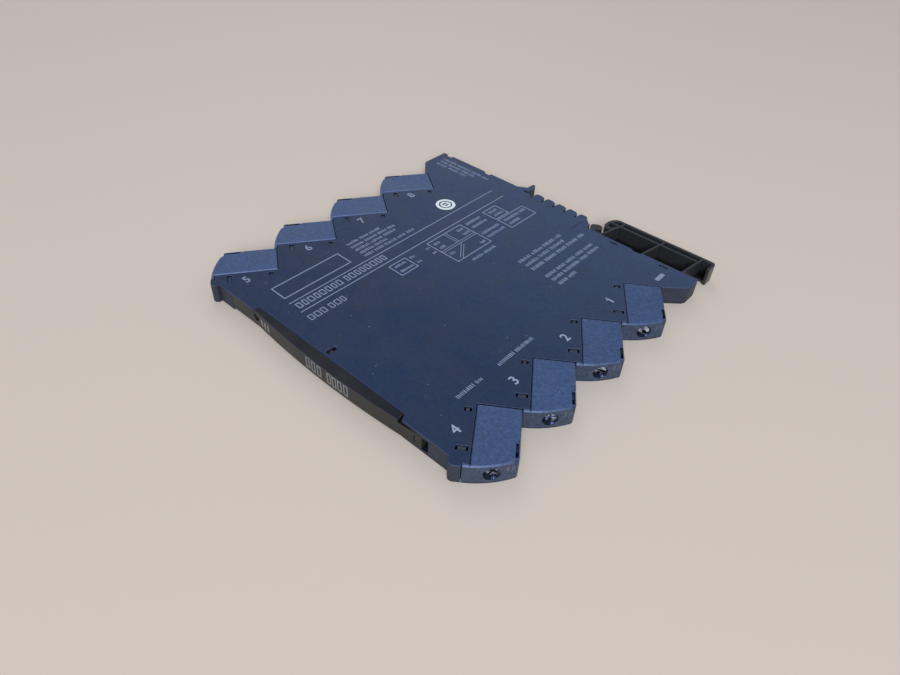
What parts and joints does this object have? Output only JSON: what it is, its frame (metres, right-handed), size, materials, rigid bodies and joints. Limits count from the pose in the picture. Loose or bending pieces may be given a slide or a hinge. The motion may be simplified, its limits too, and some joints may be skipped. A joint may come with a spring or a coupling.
{
  "type": "signal conditioner",
  "caption": "Slim isolated signal conditioner for a mounting rail, with two stepped rows of screw terminals, a front cover with a status light and a sliding foot latch.",
  "frame": {"origin": "on the table, under the middle of the outline", "axes": "+X towards terminals 1 to 4, +Y towards the rail, +Z through the thickness"},
  "size_m": [0.1128, 0.1151, 0.0061],
  "materials": {
    "housing_plastic": "fine matt moulded surface",
    "block_plastic": "satin moulded surface",
    "cover_plastic": "satin moulded surface",
    "latch_plastic": "semi-gloss moulded surface",
    "light_guide": "clear moulded light guide",
    "screw_steel": "zinc plated",
    "cage_steel": "zinc plated",
    "copper": "bare copper alloy",
    "circuit_board": "solder mask",
    "ferrite": "sintered ferrite",
    "bobbin_plastic": "moulded",
    "chip_plastic": "moulded",
    "capacitor": "moulded"
  },
  "bodies": {
    "housing": {"housing_tray": "housing_plastic", "side_cover": "housing_plastic", "front_cover": "cover_plastic", "light_guide": "light_guide", "terminal_block_1": "block_plastic", "terminal_block_2": "block_plastic", "terminal_block_3": "block_plastic", "terminal_block_4": "block_plastic", "terminal_block_5": "block_plastic", "terminal_block_6": "block_plastic", "terminal_block_7": "block_plastic", "terminal_block_8": "block_plastic", "contact_bar_1": "copper", "contact_bar_2": "copper", "contact_bar_3": "copper", "contact_bar_4": "copper", "contact_bar_5": "copper", "contact_bar_6": "copper", "contact_bar_7": "copper", "contact_bar_8": "copper", "rail_contact_1": "copper", "rail_contact_2": "copper", "rail_contact_3": "copper", "rail_contact_4": "copper", "rail_contact_5": "copper", "circuit_board": "circuit_board", "status_lamp": "light_guide", "transformer_core": "ferrite", "transformer_bobbin": "bobbin_plastic", "transformer_winding": "copper", "input_chip": "chip_plastic", "output_chip": "chip_plastic", "supply_chip": "chip_plastic", "storage_capacitor_1": "capacitor", "storage_capacitor_2": "capacitor", "filter_inductor": "ferrite"},
    "foot": {"foot_latch": "latch_plastic"},
    "screw_1": {"terminal_screw_1": "screw_steel"},
    "cage_1": {"clamp_cage_1": "cage_steel"},
    "screw_2": {"terminal_screw_2": "screw_steel"},
    "cage_2": {"clamp_cage_2": "cage_steel"},
    "screw_3": {"terminal_screw_3": "screw_steel"},
    "cage_3": {"clamp_cage_3": "cage_steel"},
    "screw_4": {"terminal_screw_4": "screw_steel"},
    "cage_4": {"clamp_cage_4": "cage_steel"},
    "screw_5": {"terminal_screw_5": "screw_steel"},
    "cage_5": {"clamp_cage_5": "cage_steel"},
    "screw_6": {"terminal_screw_6": "screw_steel"},
    "cage_6": {"clamp_cage_6": "cage_steel"},
    "screw_7": {"terminal_screw_7": "screw_steel"},
    "cage_7": {"clamp_cage_7": "cage_steel"},
    "screw_8": {"terminal_screw_8": "screw_steel"},
    "cage_8": {"clamp_cage_8": "cage_steel"}
  },
  "joints": [
    {"name": "foot_slide", "type": "slide", "parent": "housing", "child": "foot", "axis": [1, 0, 0], "range_m": [0, 0.0035], "stiffness_N_per_m": 1500},
    {"name": "screw_1_turn", "type": "hinge", "parent": "housing", "child": "screw_1", "pos_m": [0.05028, 0.02004, 0.00305], "axis": [-0.5736, 0.8192, 0], "range_deg": [0, 1920]},
    {"name": "cage_1_lift", "type": "slide", "parent": "housing", "child": "cage_1", "axis": [0.5736, -0.8192, 0], "range_m": [0, 0.0024]},
    {"name": "screw_2_turn", "type": "hinge", "parent": "housing", "child": "screw_2", "pos_m": [0.05028, -0.00246, 0.00305], "axis": [-0.5736, 0.8192, 0], "range_deg": [0, 1920]},
    {"name": "cage_2_lift", "type": "slide", "parent": "housing", "child": "cage_2", "axis": [0.5736, -0.8192, 0], "range_m": [0, 0.0024]},
    {"name": "screw_3_turn", "type": "hinge", "parent": "housing", "child": "screw_3", "pos_m": [0.05028, -0.02496, 0.00305], "axis": [-0.5736, 0.8192, 0], "range_deg": [0, 1920]},
    {"name": "cage_3_lift", "type": "slide", "parent": "housing", "child": "cage_3", "axis": [0.5736, -0.8192, 0], "range_m": [0, 0.0024]},
    {"name": "screw_4_turn", "type": "hinge", "parent": "housing", "child": "screw_4", "pos_m": [0.05028, -0.04746, 0.00305], "axis": [-0.5736, 0.8192, 0], "range_deg": [0, 1920]},
    {"name": "cage_4_lift", "type": "slide", "parent": "housing", "child": "cage_4", "axis": [0.5736, -0.8192, 0], "range_m": [0, 0.0024]},
    {"name": "screw_5_turn", "type": "hinge", "parent": "housing", "child": "screw_5", "pos_m": [-0.05028, -0.04746, 0.00305], "axis": [0.5736, 0.8192, 0], "range_deg": [0, 1920]},
    {"name": "cage_5_lift", "type": "slide", "parent": "housing", "child": "cage_5", "axis": [-0.5736, -0.8192, 0], "range_m": [0, 0.0024]},
    {"name": "screw_6_turn", "type": "hinge", "parent": "housing", "child": "screw_6", "pos_m": [-0.05028, -0.02496, 0.00305], "axis": [0.5736, 0.8192, 0], "range_deg": [0, 1920]},
    {"name": "cage_6_lift", "type": "slide", "parent": "housing", "child": "cage_6", "axis": [-0.5736, -0.8192, 0], "range_m": [0, 0.0024]},
    {"name": "screw_7_turn", "type": "hinge", "parent": "housing", "child": "screw_7", "pos_m": [-0.05028, -0.00246, 0.00305], "axis": [0.5736, 0.8192, 0], "range_deg": [0, 1920]},
    {"name": "cage_7_lift", "type": "slide", "parent": "housing", "child": "cage_7", "axis": [-0.5736, -0.8192, 0], "range_m": [0, 0.0024]},
    {"name": "screw_8_turn", "type": "hinge", "parent": "housing", "child": "screw_8", "pos_m": [-0.05028, 0.02004, 0.00305], "axis": [0.5736, 0.8192, 0], "range_deg": [0, 1920]},
    {"name": "cage_8_lift", "type": "slide", "parent": "housing", "child": "cage_8", "axis": [-0.5736, -0.8192, 0], "range_m": [0, 0.0024]}
  ],
  "couplings": [
    {"joint": "screw_1_turn", "follows": "cage_1_lift", "rad_per_m": 13963},
    {"joint": "screw_2_turn", "follows": "cage_2_lift", "rad_per_m": 13963},
    {"joint": "screw_3_turn", "follows": "cage_3_lift", "rad_per_m": 13963},
    {"joint": "screw_4_turn", "follows": "cage_4_lift", "rad_per_m": 13963},
    {"joint": "screw_5_turn", "follows": "cage_5_lift", "rad_per_m": 13963},
    {"joint": "screw_6_turn", "follows": "cage_6_lift", "rad_per_m": 13963},
    {"joint": "screw_7_turn", "follows": "cage_7_lift", "rad_per_m": 13963},
    {"joint": "screw_8_turn", "follows": "cage_8_lift", "rad_per_m": 13963}
  ]
}
